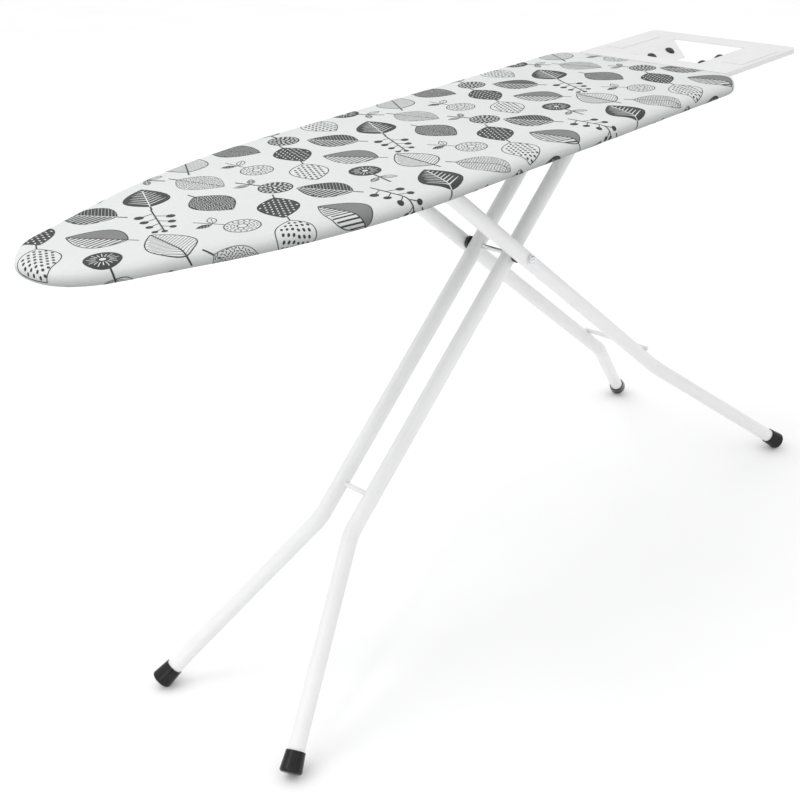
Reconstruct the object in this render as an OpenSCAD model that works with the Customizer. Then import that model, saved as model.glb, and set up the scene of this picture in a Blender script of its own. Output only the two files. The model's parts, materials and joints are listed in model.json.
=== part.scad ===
// Folding ironing board: a padded, cloth-covered board on two crossed legs of steel tube,
// with a pressed-steel iron rest past the square end and a height lock under the board.
// Millimetres. +X runs from the nose to the iron rest, +Z is up. The origin lies on the
// floor, under the middle of the overall length, in the board's plane of symmetry.

/* [Board] */
// Length of the covered board, nose to square end
board_length = 1206; // [1100:10:1300]
// Width of the covered board
board_width = 390; // [370:2:410]
// Height of the ironing surface above the floor
board_height = 786; // [730:1:900]
// Radius of the rounded nose
nose_radius = 92; // [84:1:98]
// Angle of each tapered side to the board's centre line
taper_angle = 21.8; // [20:0.1:24]
// Radius that blends each tapered side into the straight side
blend_radius = 925; // [800:10:1000]
// Radius of the corners at the square end
corner_radius = 55; // [40:1:60]
// Thickness of the cotton cover
cover_thickness = 1.4; // [1:0.1:2]
// Thickness of the felt pad
pad_thickness = 6; // [4:0.5:6]
// Width of the cover's hem, measured inwards under the board
hem_width = 30; // [26:1:40]

/* [Legs] */
// Length of each leg from the pivot to the foot
lower_arm = 838; // [780:1:840]
// Length of each leg from the pivot to its top bar
upper_arm = 274; // [260:1:280]
// Distance from the ironing surface down to the top bars
hinge_drop = 37; // [36:1:42]
// Outside diameter of the leg tubes
tube_diameter = 25; // [22:1:25]
// Wall thickness of the leg tubes
tube_wall = 1.2; // [1:0.1:1.5]
// Distance from the centre line to the inner pair of tubes
inner_offset = 34.3; // [32:0.1:35]
// Distance from the centre line to the outer pair of tubes
outer_offset = 65.1; // [65:0.1:68]
// Distance from the pivot along the leg to the bend of each tube
bend_at = 504; // [480:1:520]
// Distance from the centre line to the feet of the inner leg
inner_foot = 153; // [130:1:160]
// Distance from the centre line to the feet of the outer leg
outer_foot = 197; // [180:1:205]
// Bend radius of the tubes
tube_bend_radius = 70; // [50:1:90]
// Distance from the pivot along the leg to the lower crossbar
crossbar_at = 440; // [420:1:450]

/* [Iron rest] */
// Length of the iron rest past the square end
rest_length = 237; // [200:1:240]
// Width of the iron rest
rest_width = 304; // [290:2:310]
// Angle of the two sloping flaps of the iron rest
flap_angle = 25; // [20:1:28]

/* [Lock lever] */
// Length of the lock lever's arm
arm_length = 74; // [60:1:80]
// Angle at which the lock lever hangs
arm_angle = 12; // [8:1:14]

/* [Hidden] */
$fn = 64;

enamel = [0.93, 0.93, 0.92];
zinc = [0.72, 0.73, 0.75];
chrome = [0.85, 0.86, 0.88];
black = [0.06, 0.06, 0.065];

// Board levels, from the ironing surface down
gap = 0.2;
half_width = board_width / 2;
cover_inside = board_height - cover_thickness;
pad_top = cover_inside - gap;
panel_thickness = 1.2;
panel_top = pad_top - pad_thickness - gap;
rim_height = 12;
rim_wall = 1.2;
rim_flange = 9;
rim_inset = 6;
hem_top = panel_top - panel_thickness - rim_height - 0.3;
hem_bottom = hem_top - cover_thickness;
brace_top = panel_top - panel_thickness;
brace_bottom = brace_top - rim_height + rim_wall + 0.4;

// Board outline: the nose arc, the taper, the blend arc, the side and the corner arc meet
// tangentially, so an inset outline keeps the same centres and only changes the radii
rest_start_gap = 1;
overall = board_length + rest_start_gap + rest_length;
nose_x = -overall / 2;
end_x = nose_x + board_length;
nose_centre = nose_x + nose_radius;
blend_x = nose_centre + (cos(taper_angle) * (half_width - blend_radius)
          + blend_radius - nose_radius) / sin(taper_angle);
blend_y = half_width - blend_radius;
corner_x = end_x - corner_radius;
corner_y = half_width - corner_radius;
pad_inset = cover_thickness + 1.1;
panel_inset = cover_thickness + 2.6;

function arc(cx, cy, r, from, to, steps) =
    [for (i = [0 : steps]) let (a = from + (to - from) * i / steps)
        [cx + r * cos(a), cy + r * sin(a)]];
function half_outline(inset) = concat(
    arc(nose_centre, 0, nose_radius - inset, 180, 90 + taper_angle, 10),
    arc(blend_x, blend_y, blend_radius - inset, 90 + taper_angle, 90, 8),
    arc(corner_x, corner_y, corner_radius - inset, 90, 0, 8));
function outline(inset) = let (half = half_outline(inset), n = len(half))
    concat(half, [for (i = [n - 1 : -1 : 1]) [half[i][0], -half[i][1]]]);

// Half the board's width at one place along it, measured to an inset outline
function width_at(x, inset) =
    x > blend_x ? half_width - inset
    : x > blend_x - blend_radius * sin(taper_angle)
    ? blend_y + sqrt(pow(blend_radius - inset, 2) - pow(blend_x - x, 2))
    : (nose_radius - inset + (x - nose_centre) * sin(taper_angle)) / cos(taper_angle);

// Leg geometry: both legs cross at their common pivot at the same angle
tube_radius = tube_diameter / 2;
foot_radius = 16.5;
foot_neck = 14.4;
foot_round = 4;
foot_sleeve = 27;
inner_splay = atan((inner_foot - inner_offset) / (lower_arm - bend_at));
outer_splay = atan((outer_foot - outer_offset) / (lower_arm - bend_at));
hinge_z = board_height - hinge_drop;
foot_guess = 12.6;
leg_angle = asin((hinge_z - foot_guess) / (upper_arm + lower_arm));
pivot_z = hinge_z - upper_arm * sin(leg_angle);
pivot_x = 67.5;
hinge_x = pivot_x + upper_arm * cos(leg_angle);
slide_x = pivot_x - upper_arm * cos(leg_angle);
// Height of a tube's end above the floor, so that its tilted foot just touches the floor
function foot_height(splay) = foot_round + (foot_radius - foot_round)
    * sqrt(1 - pow(cos(splay) * sin(leg_angle), 2));
inner_end = (pivot_z - foot_height(inner_splay)) / sin(leg_angle);
outer_end = (pivot_z - foot_height(outer_splay)) / sin(leg_angle);
tube_over = 9;

pivot_radius = 4;
hinge_radius = 6;
slide_radius = 6;
fixed_fit = 0.03;
running_fit = 0.08;
body_gap = 0.4;
crossbar_radius = 4;
// A bend is a hair thicker than the bars it joins, which run a little way into it
bend_swell = 0.25;
bend_overlap = 1.0;

// Tracks for the slide bar, and the braces that carry them
brace_width = 25;
brace_wall = 1.2;
slide_low = 5;
slide_high = 54.7;
slide_front = hinge_x - 2 * upper_arm * cos(slide_low);
slide_back = hinge_x - 2 * upper_arm * cos(slide_high);
glide_radius = 9.8;
glide_length = 12;
track_wall = 1.5;
track_inside = glide_radius + body_gap;
track_y = 98;
track_lip = 14;
track_front = slide_front - 22;
track_back = slide_back + 24;
brace_front_x = track_front - 2;
brace_mid_x = track_back + 2;
brace_rear_x = hinge_x;
brace_end_x = end_x - 70;

// Hinge brackets of the inner leg
ear_y = 50.5;
ear_thickness = 2.5;
ear_radius = 15;
flange_width = 22;

// Lock lever: a shaft along the board, its comb over the slide bar, and an arm with a grip
shaft_radius = 4;
shaft_y = -30;
shaft_z = brace_bottom - shaft_radius - 0.8;
shaft_front = brace_front_x - 40;
shaft_back = brace_mid_x + 14;
bearing_length = 12;
comb_bottom = hinge_z + slide_radius + 0.7;
comb_thickness = 2;
comb_depth = 17;
comb_pitch = 20;
comb_teeth = 12;
comb_slot = 11;
spring_radius = 6.6;
spring_wire = 1.4;
spring_turns = 6;
spring_steps = 18;

// Iron rest
rest_x = end_x + rest_start_gap;
rest_end = rest_x + rest_length;
rest_half = rest_width / 2;
rest_top = board_height - 1.5;
sheet = 1.2;
rim_drop = 7;
ridge_y = 76;
dish_front = rest_x + 39;
dish_back = rest_end - 50;
flap_front = dish_front + 20;
flap_depth = 53;
flap_taper = 31;
slot_top = 8;
emboss = 0.8;
emboss_front = rest_x + 67;
emboss_back = rest_end - 50;
emboss_in = 104;
emboss_out = 142;
pad_rows = [flap_front + 26, flap_front + 82];
rest_pad_radius = 9;
rest_pad_height = 5;
rest_pad_down = 27;
rod_radius = 4;
rod_y = 90;
rod_low = hem_bottom - 0.5 - rod_radius;
rod_high = rest_top - sheet - rod_radius;
rod_front = hinge_x - 20;
rod_rise = end_x + 4;
clip_wall = 3;

// A straight round bar along X or Y
module bar_x(x0, x1, y, z, r) {
    translate([x0, y, z]) rotate([0, 90, 0]) cylinder(r = r, h = x1 - x0);
}
module bar_y(x, y0, y1, z, r) {
    translate([x, y0, z]) rotate([-90, 0, 0]) cylinder(r = r, h = y1 - y0);
}
module on_left() {
    children();
}
module on_right() {
    mirror([0, 1, 0]) children();
}
module both_sides() {
    on_left() children();
    on_right() children();
}

// Leg frames: local +X runs from the pivot down the leg, +Y across, +Z out of the leg's plane
module inner_frame() {
    translate([pivot_x, 0, pivot_z]) mirror([1, 0, 0]) rotate([0, leg_angle, 0]) children();
}
module outer_frame() {
    translate([pivot_x, 0, pivot_z]) rotate([0, leg_angle, 0]) children();
}

// Hollow round tube along +Z, with an optional bore across it
module pipe(length) {
    difference() {
        cylinder(r = tube_radius, h = length);
        translate([0, 0, -1]) cylinder(r = tube_radius - tube_wall, h = length + 2);
    }
}
// A tube with one bend, in the leg's plane, drilled for the pivot and for its top bar
module leg_tube(offset, splay, end, pivot_bore, top_bore) {
    tangent = tube_bend_radius * tan(splay / 2);
    start = -upper_arm - tube_over;
    difference() {
        translate([start, offset, 0]) rotate([0, 90, 0])
            pipe(bend_at - tangent - start + bend_overlap);
        bar_y(0, offset - 20, offset + 20, 0, pivot_bore);
        bar_y(-upper_arm, offset - 20, offset + 20, 0, top_bore);
    }
    translate([bend_at - tangent, offset + tube_bend_radius, 0]) rotate([0, 0, -90])
        rotate_extrude(angle = splay) translate([tube_bend_radius, 0]) difference() {
            circle(r = tube_radius + bend_swell);
            circle(r = tube_radius - tube_wall - bend_swell);
        }
    translate([bend_at + tangent * cos(splay), offset + tangent * sin(splay), 0])
        rotate([0, 0, splay]) rotate([0, 90, 0]) translate([0, 0, -bend_overlap])
            pipe((end - bend_at) / cos(splay) - tangent + bend_overlap);
}

// Moulded foot: a sleeve over the tube's end with a rounded sole
module foot(offset, splay, end) {
    translate([end, offset + (end - bend_at) * tan(splay), 0])
        rotate([0, 0, splay]) rotate([0, 90, 0]) difference() {
            union() {
                translate([0, 0, -foot_sleeve])
                    cylinder(r1 = foot_neck, r2 = foot_radius, h = foot_sleeve);
                cylinder(r = foot_radius - foot_round, h = foot_round);
                rotate_extrude() translate([foot_radius - foot_round, 0]) intersection() {
                    circle(r = foot_round);
                    square(foot_round);
                }
            }
            translate([0, 0, -foot_sleeve - 1])
                cylinder(r = tube_radius + fixed_fit, h = foot_sleeve + 1);
        }
}

// Plastic plug in the open top end of a tube
module top_plug(offset) {
    start = -upper_arm - tube_over;
    bar_x(start - 1.5, start, offset, 0, tube_radius - 0.5);
    bar_x(start - 0.5, start + 3, offset, 0, tube_radius - tube_wall - fixed_fit);
}

// Domed nut on the end of the pivot rod
module domed_nut(y) {
    translate([0, y, 0]) rotate([-90, 0, 0]) {
        cylinder(r = 9, h = 1.4);
        translate([0, 0, 1.4]) cylinder(r = 7, h = 2.6);
        translate([0, 0, 4]) intersection() {
            translate([0, 0, -4]) sphere(r = 8);
            cylinder(r = 6.9, h = 6);
        }
    }
}

// Fabric cover: top, sides and the hem drawn in under the board
module cover() {
    color(enamel) difference() {
        translate([0, 0, hem_bottom]) linear_extrude(board_height - hem_bottom)
            polygon(outline(0));
        translate([0, 0, hem_top]) linear_extrude(cover_inside - hem_top)
            polygon(outline(cover_thickness));
        translate([0, 0, hem_bottom - 1]) linear_extrude(hem_top - hem_bottom + 2)
            polygon(outline(hem_width));
    }
}

module pad() {
    color([0.8, 0.8, 0.78]) translate([0, 0, pad_top - pad_thickness])
        linear_extrude(pad_thickness) polygon(outline(pad_inset));
}

module top_panel() {
    color(zinc) translate([0, 0, panel_top - panel_thickness])
        linear_extrude(panel_thickness) polygon(outline(panel_inset));
}

// One half of the rolled steel rim: a wall round the outline with a flange at its foot
module rim_half() {
    top = panel_top - panel_thickness;
    translate([0, 0, top - rim_height]) linear_extrude(rim_height)
        rim_section(rim_inset + rim_wall);
    translate([0, 0, top - rim_height]) linear_extrude(rim_wall)
        rim_section(rim_inset + rim_flange);
}
module rim_section(inside) {
    intersection() {
        difference() {
            polygon(outline(rim_inset));
            polygon(outline(inside));
        }
        translate([nose_x - 1, 0]) square([board_length + 2, half_width]);
    }
}
module rim_left() {
    color(zinc) on_left() rim_half();
}
module rim_right() {
    color(zinc) on_right() rim_half();
}

// Rectangular steel tube across the board, between the two halves of the rim
module brace(x) {
    half = width_at(x - brace_width / 2, rim_inset + rim_wall) - 0.4;
    height = brace_top - brace_bottom;
    color(enamel) difference() {
        translate([x - brace_width / 2, -half, brace_bottom])
            cube([brace_width, 2 * half, height]);
        translate([x - brace_width / 2 + brace_wall, -half - 1, brace_bottom + brace_wall])
            cube([brace_width - 2 * brace_wall, 2 * half + 2, height - 2 * brace_wall]);
    }
}
module brace_front() {
    brace(brace_front_x);
}
module brace_mid() {
    brace(brace_mid_x);
}
module brace_rear() {
    brace(brace_rear_x);
}
module brace_end() {
    brace(brace_end_x);
}

// Channel in which the slide bar's glide runs, hung under two braces and closed at both ends
module track() {
    length = track_back - track_front;
    low = hinge_z - track_inside - track_wall;
    height = 2 * (track_inside + track_wall);
    inner_y = track_y - track_lip;
    color(enamel) {
        difference() {
            translate([track_front, inner_y, low])
                cube([length, track_lip + track_wall, height]);
            translate([track_front + track_wall, inner_y - 1, low + track_wall])
                cube([length - 2 * track_wall, track_lip + 1, 2 * track_inside]);
        }
        for (x = [track_front, track_back - 10])
            translate([x, inner_y, low + height])
                cube([10, track_lip + track_wall, brace_bottom - low - height]);
    }
}
module track_left() {
    on_left() track();
}
module track_right() {
    on_right() track();
}

// Ear with the bore for the hinge rod, and the flange that fixes it under the rear brace
module hinge_bracket() {
    color(zinc) {
        difference() {
            union() {
                bar_y(hinge_x, ear_y, ear_y + ear_thickness, hinge_z, ear_radius);
                translate([hinge_x - ear_radius, ear_y, hinge_z])
                    cube([2 * ear_radius, ear_thickness, brace_bottom - hinge_z]);
            }
            bar_y(hinge_x, ear_y - 1, ear_y + ear_thickness + 1, hinge_z,
                  hinge_radius + running_fit);
        }
        translate([hinge_x - ear_radius, ear_y, brace_bottom - ear_thickness])
            cube([2 * ear_radius, flange_width, ear_thickness]);
    }
}
module hinge_bracket_left() {
    on_left() hinge_bracket();
}
module hinge_bracket_right() {
    on_right() hinge_bracket();
}

// Rivet heads under the bracket flanges
module rivets() {
    color(zinc) both_sides() for (x = [hinge_x - 9, hinge_x + 9])
        translate([x, ear_y + 14, brace_bottom - ear_thickness]) mirror([0, 0, 1])
            intersection() {
                translate([0, 0, -1.5]) sphere(r = 4);
                cylinder(r = 5, h = 3);
            }
}

// Two nylon blocks in which the lock shaft turns
module lever_bearings() {
    color(black) for (x = [brace_front_x, brace_mid_x]) difference() {
        translate([x - bearing_length / 2, shaft_y - 9, shaft_z - 8])
            cube([bearing_length, 18, brace_bottom - shaft_z + 8]);
        bar_x(x - bearing_length, x + bearing_length, shaft_y, shaft_z,
              shaft_radius + running_fit);
    }
}

// Return spring round the lock shaft: a helix of round wire with two straight tails
module lever_spring() {
    sides = 8;
    pitch = spring_wire + 0.5;
    start = brace_front_x - brace_width / 2 - 4;
    steps = spring_turns * spring_steps;
    points = [for (i = [0 : steps]) for (k = [0 : sides - 1])
        let (a = 360 * i / spring_steps, b = 360 * k / sides,
             r = spring_radius + spring_wire / 2 * cos(b))
        [start - pitch * i / spring_steps + spring_wire / 2 * sin(b),
         shaft_y + r * cos(a), shaft_z + r * sin(a)]];
    walls = [for (i = [0 : steps - 1]) for (k = [0 : sides - 1])
        let (n = (k + 1) % sides)
        [i * sides + k, i * sides + n, (i + 1) * sides + n, (i + 1) * sides + k]];
    caps = [[for (k = [sides - 1 : -1 : 0]) k],
            [for (k = [0 : sides - 1]) steps * sides + k]];
    color(zinc) {
        polyhedron(points = points, faces = concat(walls, caps), convexity = 10);
    }
}

// Bent steel rod that carries the iron rest: flat under the board, rising past its end
module rest_rod() {
    rise = rod_high - rod_low;
    r = 16;
    slope = 45;
    straight = (rise - 2 * r * (1 - cos(slope))) / sin(slope);
    x1 = rod_rise + r * sin(slope);
    x2 = x1 + straight * cos(slope);
    x3 = x2 + r * sin(slope);
    z2 = rod_low + r * (1 - cos(slope)) + straight * sin(slope);
    color(enamel) translate([0, rod_y, 0]) rotate([90, 0, 0]) {
        translate([rod_front, rod_low, 0]) rotate([0, 90, 0])
            cylinder(r = rod_radius, h = rod_rise - rod_front + bend_overlap);
        translate([rod_rise, rod_low + r, 0]) rotate([0, 0, -90])
            rotate_extrude(angle = slope) translate([r, 0]) circle(r = rod_radius + bend_swell);
        translate([x1, rod_low + r * (1 - cos(slope)), 0]) rotate([0, 0, slope])
            rotate([0, 90, 0]) translate([0, 0, -bend_overlap])
                cylinder(r = rod_radius, h = straight + 2 * bend_overlap);
        translate([x3, rod_high - r, 0]) rotate([0, 0, 90])
            rotate_extrude(angle = slope) translate([r, 0]) circle(r = rod_radius + bend_swell);
        translate([x3 - bend_overlap, rod_high, 0]) rotate([0, 90, 0])
            cylinder(r = rod_radius, h = rest_end - 20 - x3 + bend_overlap);
    }
}
module rest_rod_left() {
    on_left() rest_rod();
}
module rest_rod_right() {
    on_right() rest_rod();
}

// Four clips that hold the rods under the rear braces
module rest_clips() {
    size = 2 * (rod_radius + clip_wall);
    color(black) both_sides() for (x = [brace_rear_x + 8, brace_end_x]) difference() {
        translate([x - 5, rod_y - size / 2, rod_low - size / 2])
            cube([10, size, brace_bottom - rod_low + size / 2]);
        bar_x(x - 6, x + 6, rod_y, rod_low, rod_radius + fixed_fit);
    }
}

// Sloping flap of the iron rest, bent down from the ridge, its free edge cut at an angle
module flap() {
    cut = slot_top / cos(flap_angle);
    translate([0, ridge_y, rest_top]) rotate([flap_angle, 0, 0])
        translate([0, 0, -sheet]) linear_extrude(sheet)
            polygon([[dish_front, 0.6], [dish_back, 0.6], [dish_back, 0],
                     [dish_back - flap_taper, -flap_depth], [flap_front, -flap_depth],
                     [flap_front, -cut], [dish_front, -cut]]);
}
module rest_plate() {
    corner = 14;
    out = [[rest_x, -rest_half], [rest_x, rest_half]];
    edge = concat(out,
        arc(rest_end - corner, rest_half - corner, corner, 90, 0, 6),
        arc(rest_end - corner, corner - rest_half, corner, 0, -90, 6));
    inner_corner = corner - sheet;
    inner_edge = concat([[rest_x - 1, sheet - rest_half], [rest_x - 1, rest_half - sheet]],
        arc(rest_end - corner, rest_half - corner, inner_corner, 90, 0, 6),
        arc(rest_end - corner, corner - rest_half, inner_corner, 0, -90, 6));
    color(enamel) {
        difference() {
            translate([0, 0, rest_top - sheet - rim_drop])
                linear_extrude(sheet + rim_drop) polygon(edge);
            translate([0, 0, rest_top - sheet - rim_drop - 1])
                linear_extrude(rim_drop + 1) polygon(inner_edge);
            translate([dish_front, -ridge_y, rest_top - sheet - 1])
                cube([dish_back - dish_front, 2 * ridge_y, sheet + 2]);
        }
        both_sides() flap();
        both_sides() translate([emboss_front, emboss_in, rest_top])
            cube([emboss_back - emboss_front, emboss_out - emboss_in, emboss]);
    }
}

// Four domed silicone pads, two on each flap
module rest_pads() {
    color(black) both_sides() for (x = pad_rows)
        translate([x, ridge_y, rest_top]) rotate([flap_angle, 0, 0])
            translate([0, -rest_pad_down, 0]) intersection() {
                translate([0, 0, -6]) sphere(r = 11);
                cylinder(r = rest_pad_radius, h = rest_pad_height);
            }
}

// Shaft and arm of the lock lever
module lock_shaft() {
    color(zinc) {
        bar_x(shaft_front, shaft_back, shaft_y, shaft_z, shaft_radius);
        translate([shaft_front, shaft_y, shaft_z]) sphere(r = shaft_radius + 1);
        translate([shaft_front, shaft_y, shaft_z]) rotate([90 + arm_angle, 0, 0])
            cylinder(r = shaft_radius, h = arm_length);
    }
}

// Comb welded under the shaft: its teeth lie across the slide bar's path
module lock_comb() {
    length = comb_pitch * (comb_teeth - 1) + comb_pitch - comb_slot;
    start = slide_x - comb_slot / 2 - 7 * comb_pitch + comb_slot;
    inner = shaft_y - shaft_radius - fixed_fit;
    color(zinc) difference() {
        union() {
            translate([start, inner - comb_depth, comb_bottom])
                cube([length, comb_depth, comb_thickness]);
            translate([start, inner - 3, comb_bottom])
                cube([length, 3, shaft_z - comb_bottom + 1]);
        }
        for (i = [0 : comb_teeth - 2])
            translate([start + comb_pitch - comb_slot + i * comb_pitch,
                       inner - comb_depth - 1, comb_bottom - 1])
                cube([comb_slot, comb_depth - 8, comb_thickness + 2]);
    }
}

// Moulded grip on the lever's arm
module lever_grip() {
    grip_length = 44;
    color(black) translate([shaft_front, shaft_y, shaft_z]) rotate([90 + arm_angle, 0, 0])
        translate([0, 0, arm_length - grip_length + 3]) difference() {
            rotate_extrude() polygon([[0, 0], [7, 0], [8.5, 4], [7.5, 14], [8.5, 30],
                                      [8.5, 40], [6, grip_length], [0, grip_length]]);
            translate([0, 0, -1]) cylinder(r = shaft_radius + fixed_fit, h = grip_length - 2);
        }
}

// Inner leg
module inner_tube() {
    color(enamel) leg_tube(inner_offset, inner_splay, inner_end,
                           pivot_radius + fixed_fit, hinge_radius + fixed_fit);
}
module inner_tube_left() {
    inner_frame() on_left() inner_tube();
}
module inner_tube_right() {
    inner_frame() on_right() inner_tube();
}
module hinge_rod() {
    reach = ear_y + ear_thickness + 5;
    color(zinc) inner_frame() bar_y(-upper_arm, -reach, reach, 0, hinge_radius);
}
module hinge_caps() {
    reach = ear_y + ear_thickness;
    color(black) inner_frame() both_sides() difference() {
        bar_y(-upper_arm, reach + body_gap, reach + 7, 0, hinge_radius + 3);
        bar_y(-upper_arm, reach - 1, reach + 5, 0, hinge_radius + fixed_fit);
    }
}
module inner_plugs() {
    color(black) inner_frame() both_sides() top_plug(inner_offset);
}
module inner_crossbar() {
    reach = inner_offset - tube_radius + 0.6;
    color(enamel) inner_frame() bar_y(crossbar_at, -reach, reach, 0, crossbar_radius);
}
module inner_foot_left() {
    color(black) inner_frame() on_left() foot(inner_offset, inner_splay, inner_end);
}
module inner_foot_right() {
    color(black) inner_frame() on_right() foot(inner_offset, inner_splay, inner_end);
}

// Pivot through all four tubes
module pivot_rod() {
    reach = outer_offset + tube_radius + body_gap;
    color(chrome) inner_frame() bar_y(0, -reach, reach, 0, pivot_radius);
}
module pivot_spacers() {
    from = inner_offset + tube_radius;
    to = outer_offset - tube_radius - body_gap;
    color(black) inner_frame() both_sides() difference() {
        bar_y(0, from, to, 0, tube_radius - 1.5);
        bar_y(0, from - 1, to + 1, 0, pivot_radius + fixed_fit);
    }
}
module pivot_nuts() {
    color(chrome) inner_frame() both_sides()
        domed_nut(outer_offset + tube_radius + body_gap);
}

// Outer leg
module outer_tube() {
    color(enamel) leg_tube(outer_offset, outer_splay, outer_end,
                           pivot_radius + running_fit, slide_radius + fixed_fit);
}
module outer_tube_left() {
    outer_frame() on_left() outer_tube();
}
module outer_tube_right() {
    outer_frame() on_right() outer_tube();
}
module slide_bar() {
    reach = track_y - 1;
    color(zinc) outer_frame() bar_y(-upper_arm, -reach, reach, 0, slide_radius);
}
module glides() {
    outer = track_y - 0.8;
    color(black) outer_frame() both_sides() difference() {
        bar_y(-upper_arm, outer - glide_length, outer, 0, glide_radius);
        bar_y(-upper_arm, outer - glide_length - 1, outer + 1, 0, slide_radius + fixed_fit);
    }
}
module outer_plugs() {
    color(black) outer_frame() both_sides() top_plug(outer_offset);
}
module outer_crossbar() {
    reach = outer_offset + 4;
    rise = tube_radius + crossbar_radius - 1.2;
    color(enamel) outer_frame() {
        bar_y(crossbar_at, -reach, reach, rise, crossbar_radius);
        both_sides() translate([crossbar_at, reach, rise]) sphere(r = crossbar_radius);
    }
}
module outer_foot_left() {
    color(black) outer_frame() on_left() foot(outer_offset, outer_splay, outer_end);
}
module outer_foot_right() {
    color(black) outer_frame() on_right() foot(outer_offset, outer_splay, outer_end);
}

cover();
pad();
top_panel();
rim_left();
rim_right();
brace_front();
brace_mid();
brace_rear();
brace_end();
track_left();
track_right();
hinge_bracket_left();
hinge_bracket_right();
rivets();
lever_bearings();
lever_spring();
rest_rod_left();
rest_rod_right();
rest_clips();
rest_plate();
rest_pads();
lock_shaft();
lock_comb();
lever_grip();
inner_tube_left();
inner_tube_right();
hinge_rod();
hinge_caps();
inner_plugs();
inner_crossbar();
inner_foot_left();
inner_foot_right();
pivot_rod();
pivot_spacers();
pivot_nuts();
outer_tube_left();
outer_tube_right();
slide_bar();
glides();
outer_plugs();
outer_crossbar();
outer_foot_left();
outer_foot_right();
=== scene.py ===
import bpy
import bmesh
import json
import math
import random
import numpy as np
from mathutils import Matrix, Vector
from mathutils.geometry import delaunay_2d_cdt


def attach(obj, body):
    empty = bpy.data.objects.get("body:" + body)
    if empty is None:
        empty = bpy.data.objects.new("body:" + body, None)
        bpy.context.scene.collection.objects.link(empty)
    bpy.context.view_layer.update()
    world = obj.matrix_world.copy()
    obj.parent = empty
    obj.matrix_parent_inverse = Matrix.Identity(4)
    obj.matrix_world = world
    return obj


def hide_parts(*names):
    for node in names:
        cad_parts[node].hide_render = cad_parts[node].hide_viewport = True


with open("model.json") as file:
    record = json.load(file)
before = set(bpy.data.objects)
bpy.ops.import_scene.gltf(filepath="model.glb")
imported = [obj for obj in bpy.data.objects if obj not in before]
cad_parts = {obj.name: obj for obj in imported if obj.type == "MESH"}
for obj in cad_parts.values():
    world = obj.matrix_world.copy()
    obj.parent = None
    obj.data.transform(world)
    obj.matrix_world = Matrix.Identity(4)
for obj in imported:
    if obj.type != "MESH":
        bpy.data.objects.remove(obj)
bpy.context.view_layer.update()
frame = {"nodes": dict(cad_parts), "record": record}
NODES = frame["nodes"]
MM = 0.001
# Board x is counted from a point this far (mm) along +X from the row frame's origin
OFFSET = 116.0

# ---------------------------------------------------------------- camera
CAMERA_PLACE = (-1.345, -1.247, 1.271)
CAMERA_ANGLES = (43.957, 27.39, -2.482)  # yaw, pitch down and roll, degrees
CAMERA_LENS = 56.30
CAMERA_SHIFT = (-0.06, 0.0031)

yaw, pitch, roll = (math.radians(a) for a in CAMERA_ANGLES)
fwd = Vector((math.cos(yaw) * math.cos(pitch), math.sin(yaw) * math.cos(pitch), -math.sin(pitch)))
side = Vector((math.sin(yaw), -math.cos(yaw), 0))
up = side.cross(fwd)
right = math.cos(roll) * side + math.sin(roll) * up
top = -math.sin(roll) * side + math.cos(roll) * up
cam_data = bpy.data.cameras.new("camera")
cam_data.sensor_width = 36
cam_data.lens = CAMERA_LENS
cam_data.shift_x, cam_data.shift_y = CAMERA_SHIFT
cam_data.clip_end = 50
cam = bpy.data.objects.new("camera", cam_data)
bpy.context.scene.collection.objects.link(cam)
turn = Matrix((right, top, -fwd)).transposed().to_4x4()
cam.matrix_world = Matrix.Translation(CAMERA_PLACE) @ turn
bpy.context.scene.camera = cam


# ---------------------------------------------------------------- materials
def new_material(name):
    m = bpy.data.materials.new(name)
    m.use_nodes = True
    m.node_tree.nodes.clear()
    out = m.node_tree.nodes.new("ShaderNodeOutputMaterial")
    bsdf = m.node_tree.nodes.new("ShaderNodeBsdfPrincipled")
    m.node_tree.links.new(bsdf.outputs[0], out.inputs[0])
    return m, m.node_tree, bsdf


def node(tree, kind, **values):
    n = tree.nodes.new("ShaderNode" + kind)
    for k, v in values.items():
        if k in n.inputs:
            n.inputs[k].default_value = v
        else:
            setattr(n, k, v)
    return n


def coords(tree, scale=(1, 1, 1)):
    c = tree.nodes.new("ShaderNodeTexCoord")
    m = node(tree, "Mapping", Scale=scale)
    tree.links.new(c.outputs["Object"], m.inputs["Vector"])
    return m.outputs[0]


def noise(tree, vector, scale, detail=3.0, rough=0.5):
    n = node(tree, "TexNoise", Scale=scale, Detail=detail, Roughness=rough)
    tree.links.new(vector, n.inputs["Vector"])
    return n.outputs["Fac"]


def ramp(tree, fac, stops):
    r = tree.nodes.new("ShaderNodeValToRGB")
    e = r.color_ramp.elements
    while len(e) < len(stops):
        e.new(0.5)
    for item, (pos, col) in zip(e, stops):
        item.position = pos
        item.color = (*col, 1) if len(col) == 3 else (col[0], col[0], col[0], 1)
    tree.links.new(fac, r.inputs[0])
    return r.outputs[0]


def scalar_range(tree, fac, low, high):
    m = node(tree, "MapRange")
    m.inputs["To Min"].default_value = low
    m.inputs["To Max"].default_value = high
    tree.links.new(fac, m.inputs["Value"])
    return m.outputs[0]


def bump(tree, height, bsdf, strength, distance, chain=None):
    b = node(tree, "Bump", Strength=strength, Distance=distance)
    tree.links.new(height, b.inputs["Height"])
    if chain is not None:
        tree.links.new(chain, b.inputs["Normal"])
    tree.links.new(b.outputs[0], bsdf.inputs["Normal"])


def maths(tree, op, a, b):
    n = node(tree, "Math", operation=op)
    for i, v in enumerate((a, b)):
        if isinstance(v, (int, float)):
            n.inputs[i].default_value = v
        else:
            tree.links.new(v, n.inputs[i])
    return n.outputs[0]


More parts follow.
